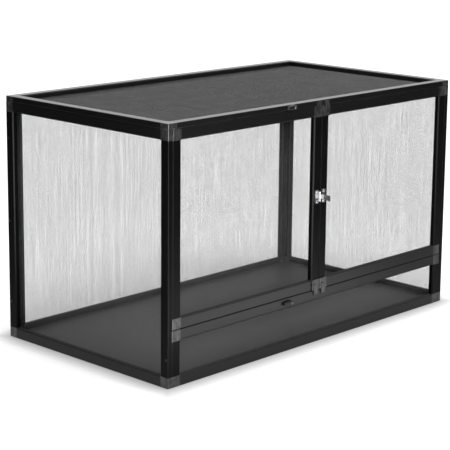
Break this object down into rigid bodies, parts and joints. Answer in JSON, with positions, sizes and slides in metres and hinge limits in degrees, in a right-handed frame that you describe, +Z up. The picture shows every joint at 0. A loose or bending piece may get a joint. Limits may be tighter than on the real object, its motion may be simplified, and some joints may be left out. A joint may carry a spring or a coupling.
{
  "type": "reptile terrarium",
  "caption": "Free-standing box of framed mesh panels round a solid floor board, with a recessed mesh top, a fixed lower front and a pair of side-hinged front doors with a hasp and turn buttons.",
  "frame": {"origin": "centre of the underside, between the four walls, on the table", "axes": "+Z up, -Y out of the front with the doors, +X to the viewer's right when facing the front"},
  "size_m": [1.02, 0.5966, 0.6],
  "materials": {
    "black_aluminium": "satin black coated extrusion",
    "key_plastic": "moulded, fine matt grain",
    "screen_mesh": "coated woven screen, drawn here as a plain grid",
    "spline_rubber": "matt",
    "floor_board": "smooth foam board skin",
    "black_screw": "black oxide",
    "bright_steel": "bright zinc or nickel plate",
    "button_plastic": "moulded, matt"
  },
  "bodies": {
    "frame": {"left_side_bottom_rail": "black_aluminium", "left_side_top_rail": "black_aluminium", "left_side_front_stile": "black_aluminium", "left_side_rear_stile": "black_aluminium", "left_side_corner_keys": "key_plastic", "left_side_mesh": "screen_mesh", "right_side_bottom_rail": "black_aluminium", "right_side_top_rail": "black_aluminium", "right_side_front_stile": "black_aluminium", "right_side_rear_stile": "black_aluminium", "right_side_corner_keys": "key_plastic", "right_side_mesh": "screen_mesh", "rear_bottom_rail": "black_aluminium", "rear_top_rail": "black_aluminium", "rear_left_stile": "black_aluminium", "rear_right_stile": "black_aluminium", "rear_corner_keys": "key_plastic", "rear_mesh": "screen_mesh", "lower_front_bottom_rail": "black_aluminium", "lower_front_top_rail": "black_aluminium", "lower_front_left_stile": "black_aluminium", "lower_front_right_stile": "black_aluminium", "lower_front_corner_keys": "key_plastic", "lower_front_mesh": "screen_mesh", "top_front_rail": "black_aluminium", "top_rear_rail": "black_aluminium", "top_left_rail": "black_aluminium", "top_right_rail": "black_aluminium", "top_corner_keys": "key_plastic", "top_mesh": "screen_mesh", "fixed_panel_splines": "spline_rubber", "floor_board": "floor_board", "assembly_screws": "black_screw", "door_pivot_pins": "bright_steel", "turn_button_screws": "bright_steel"},
    "left_door": {"left_door_bottom_rail": "black_aluminium", "left_door_top_rail": "black_aluminium", "left_door_hinge_stile": "black_aluminium", "left_door_latch_stile": "black_aluminium", "left_door_corner_keys": "key_plastic", "left_door_mesh": "screen_mesh", "left_door_spline": "spline_rubber", "hasp_hinge_plate": "bright_steel", "hasp_hinge_screws": "bright_steel", "hasp_pin": "bright_steel"},
    "right_door": {"right_door_bottom_rail": "black_aluminium", "right_door_top_rail": "black_aluminium", "right_door_hinge_stile": "black_aluminium", "right_door_latch_stile": "black_aluminium", "right_door_corner_keys": "key_plastic", "right_door_mesh": "screen_mesh", "right_door_spline": "spline_rubber", "hasp_catch_plate": "bright_steel", "hasp_catch_screws": "bright_steel"},
    "turn_button_top": {"turn_button_top": "button_plastic"},
    "turn_button_bottom": {"turn_button_bottom": "button_plastic"},
    "hasp_lever": {"hasp_lever": "bright_steel"}
  },
  "joints": [
    {"name": "left_door_swing", "type": "hinge", "parent": "frame", "child": "left_door", "pos_m": [-0.4888, -0.276, 0.36], "axis": [0, 0, -1], "range_deg": [0, 105]},
    {"name": "right_door_swing", "type": "hinge", "parent": "frame", "child": "right_door", "pos_m": [0.4888, -0.276, 0.36], "axis": [0, 0, 1], "range_deg": [0, 105]},
    {"name": "hasp_lever_swing", "type": "hinge", "parent": "left_door", "child": "hasp_lever", "pos_m": [-0.0034, -0.2826, 0.365], "axis": [0, 0, 1], "range_deg": [0, 90]},
    {"name": "turn_button_top_turn", "type": "hinge", "parent": "frame", "child": "turn_button_top", "pos_m": [-0.105, -0.28, 0.59365], "axis": [0, -1, 0], "range_deg": [0, 90]},
    {"name": "turn_button_bottom_turn", "type": "hinge", "parent": "frame", "child": "turn_button_bottom", "pos_m": [-0.105, -0.28, 0.1193], "axis": [0, 1, 0], "range_deg": [0, 90]}
  ]
}
